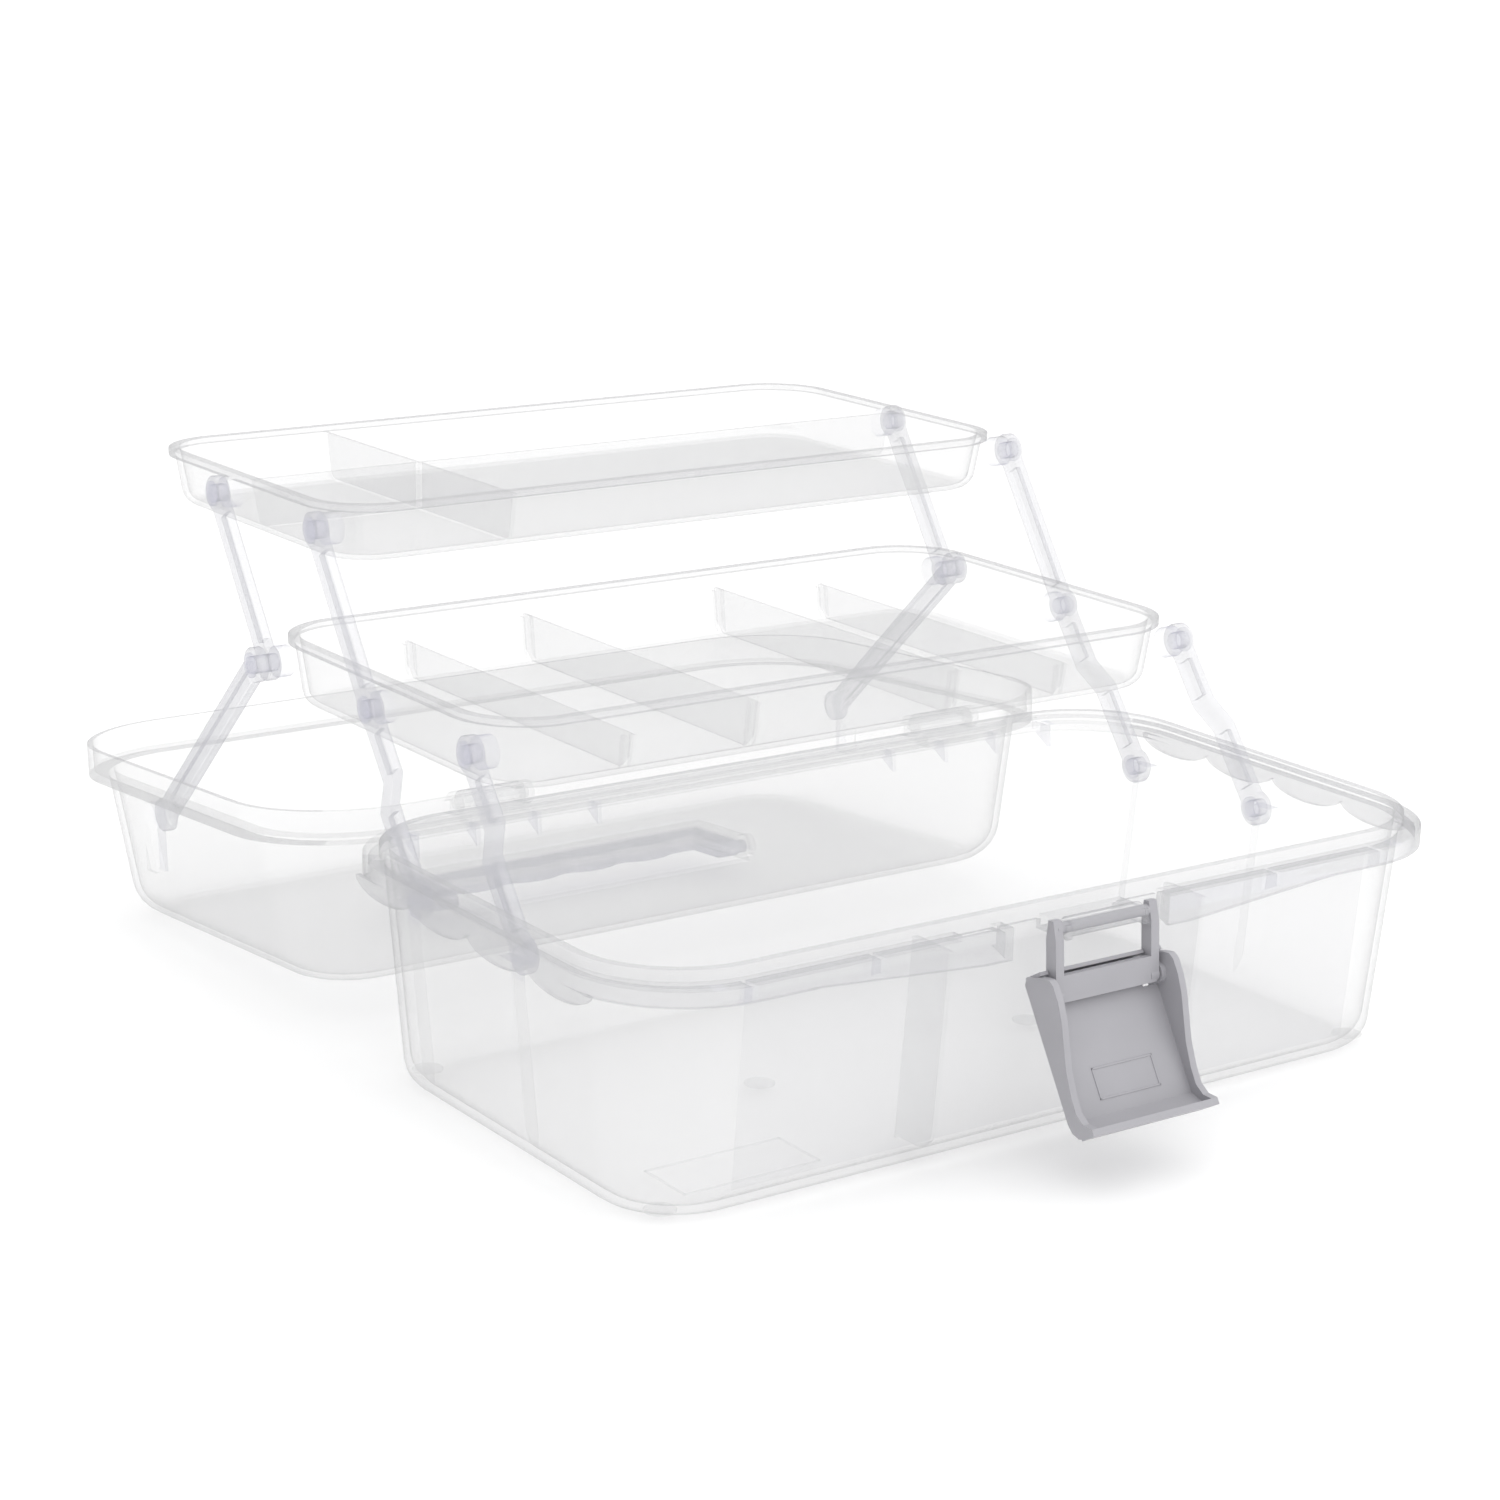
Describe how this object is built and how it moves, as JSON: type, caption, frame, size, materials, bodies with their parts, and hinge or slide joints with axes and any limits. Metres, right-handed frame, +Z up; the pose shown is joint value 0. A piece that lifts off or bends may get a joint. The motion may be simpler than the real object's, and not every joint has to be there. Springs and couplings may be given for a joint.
{
  "type": "cantilever tool box",
  "caption": "Clear plastic tool box whose hinged lid draws two divided trays up and back on side arms, with a swing latch in front and a folding carry handle in the lid.",
  "frame": {"origin": "on the floor under the middle of the base", "axes": "+X along the front towards its right end, +Y from the latch to the hinge, +Z up"},
  "size_m": [0.332, 0.4278, 0.1766],
  "materials": {
    "clear_polypropylene": "clear frosted polypropylene, smooth moulded surface",
    "arm_polypropylene": "clear polypropylene in a thicker section, slightly blue",
    "grey_plastic": "grey moulded plastic, fine satin surface"
  },
  "bodies": {
    "base": {"base_shell": "clear_polypropylene"},
    "lid": {"lid_shell": "clear_polypropylene"},
    "lower_tray": {"lower_tray": "clear_polypropylene"},
    "upper_tray": {"upper_tray": "clear_polypropylene"},
    "latch_frame": {"latch_frame": "grey_plastic"},
    "latch_lever": {"latch_lever": "grey_plastic"},
    "handle": {"carry_handle": "arm_polypropylene"},
    "main_arm_left": {"main_arm_left": "arm_polypropylene"},
    "main_arm_right": {"main_arm_right": "arm_polypropylene"},
    "front_arm_left": {"front_arm_left": "arm_polypropylene"},
    "front_arm_right": {"front_arm_right": "arm_polypropylene"},
    "upper_rear_arm_left": {"upper_rear_arm_left": "arm_polypropylene"},
    "upper_rear_arm_right": {"upper_rear_arm_right": "arm_polypropylene"},
    "lid_arm_left": {"lid_arm_left": "arm_polypropylene"},
    "lid_arm_right": {"lid_arm_right": "arm_polypropylene"},
    "divider_1": {"divider_1": "clear_polypropylene"},
    "divider_2": {"divider_2": "clear_polypropylene"},
    "divider_3": {"divider_3": "clear_polypropylene"},
    "divider_4": {"divider_4": "clear_polypropylene"}
  },
  "joints": [
    {"name": "lid_hinge", "type": "hinge", "parent": "base", "child": "lid", "pos_m": [0, 0.1022, 0.0785], "axis": [1, 0, 0], "range_deg": [0, 184.4]},
    {"name": "main_arm_left_pivot", "type": "hinge", "parent": "base", "child": "main_arm_left", "pos_m": [0, 0.055, 0.065], "axis": [1, 0, 0], "range_deg": [0, 108.41]},
    {"name": "main_arm_right_pivot", "type": "hinge", "parent": "base", "child": "main_arm_right", "pos_m": [0, 0.055, 0.065], "axis": [1, 0, 0], "range_deg": [0, 108.41]},
    {"name": "front_arm_left_pivot", "type": "hinge", "parent": "base", "child": "front_arm_left", "pos_m": [0, -0.008, 0.065], "axis": [1, 0, 0], "range_deg": [0, 108.41]},
    {"name": "front_arm_right_pivot", "type": "hinge", "parent": "base", "child": "front_arm_right", "pos_m": [0, -0.008, 0.065], "axis": [1, 0, 0], "range_deg": [0, 108.41]},
    {"name": "lower_tray_pivot", "type": "hinge", "parent": "main_arm_left", "child": "lower_tray", "pos_m": [0, 0.094, 0.1175], "axis": [1, 0, 0], "range_deg": [-108.41, 0]},
    {"name": "upper_tray_pivot", "type": "hinge", "parent": "main_arm_left", "child": "upper_tray", "pos_m": [0, 0.1292, 0.1695], "axis": [1, 0, 0], "range_deg": [-108.41, 0]},
    {"name": "upper_rear_arm_left_pivot", "type": "hinge", "parent": "lower_tray", "child": "upper_rear_arm_left", "pos_m": [0, 0.1645, 0.1175], "axis": [1, 0, 0], "range_deg": [0, 108.41]},
    {"name": "upper_rear_arm_right_pivot", "type": "hinge", "parent": "lower_tray", "child": "upper_rear_arm_right", "pos_m": [0, 0.1645, 0.1175], "axis": [1, 0, 0], "range_deg": [0, 108.41]},
    {"name": "lid_arm_left_pivot", "type": "hinge", "parent": "lower_tray", "child": "lid_arm_left", "pos_m": [0, 0.1645, 0.1175], "axis": [1, 0, 0], "range_deg": [0, 215.65]},
    {"name": "lid_arm_right_pivot", "type": "hinge", "parent": "lower_tray", "child": "lid_arm_right", "pos_m": [0, 0.1645, 0.1175], "axis": [1, 0, 0], "range_deg": [0, 215.65]},
    {"name": "divider_1_slide", "type": "slide", "parent": "lower_tray", "child": "divider_1", "axis": [0, 0, -1], "range_m": [-0.025, 0]},
    {"name": "divider_2_slide", "type": "slide", "parent": "lower_tray", "child": "divider_2", "axis": [0, 0, -1], "range_m": [-0.025, 0]},
    {"name": "divider_3_slide", "type": "slide", "parent": "lower_tray", "child": "divider_3", "axis": [0, 0, -1], "range_m": [-0.025, 0]},
    {"name": "divider_4_slide", "type": "slide", "parent": "lower_tray", "child": "divider_4", "axis": [0, 0, -1], "range_m": [-0.025, 0]},
    {"name": "latch_frame_pivot", "type": "hinge", "parent": "base", "child": "latch_frame", "pos_m": [0, -0.099, 0.076], "axis": [-1, 0, 0], "range_deg": [0, 176]},
    {"name": "latch_lever_pivot", "type": "hinge", "parent": "latch_frame", "child": "latch_lever", "pos_m": [0, -0.1005, 0.0555], "axis": [1, 0, 0], "range_deg": [-40, 17]},
    {"name": "handle_pivot", "type": "hinge", "parent": "lid", "child": "handle", "pos_m": [0, 0.18956, 0.0121], "axis": [-1, 0, 0], "range_deg": [0, 90]}
  ],
  "couplings": [
    {"joint": "main_arm_left_pivot", "follows": "lid_hinge", "ratio": 0.58785},
    {"joint": "main_arm_right_pivot", "follows": "lid_hinge", "ratio": 0.58785},
    {"joint": "front_arm_left_pivot", "follows": "lid_hinge", "ratio": 0.58785},
    {"joint": "front_arm_right_pivot", "follows": "lid_hinge", "ratio": 0.58785},
    {"joint": "lower_tray_pivot", "follows": "lid_hinge", "ratio": -0.58785},
    {"joint": "upper_tray_pivot", "follows": "lid_hinge", "ratio": -0.58785},
    {"joint": "upper_rear_arm_left_pivot", "follows": "lid_hinge", "ratio": 0.58785},
    {"joint": "upper_rear_arm_right_pivot", "follows": "lid_hinge", "ratio": 0.58785},
    {"joint": "lid_arm_left_pivot", "follows": "lid_hinge", "ratio": 1.1694},
    {"joint": "lid_arm_right_pivot", "follows": "lid_hinge", "ratio": 1.1694}
  ]
}
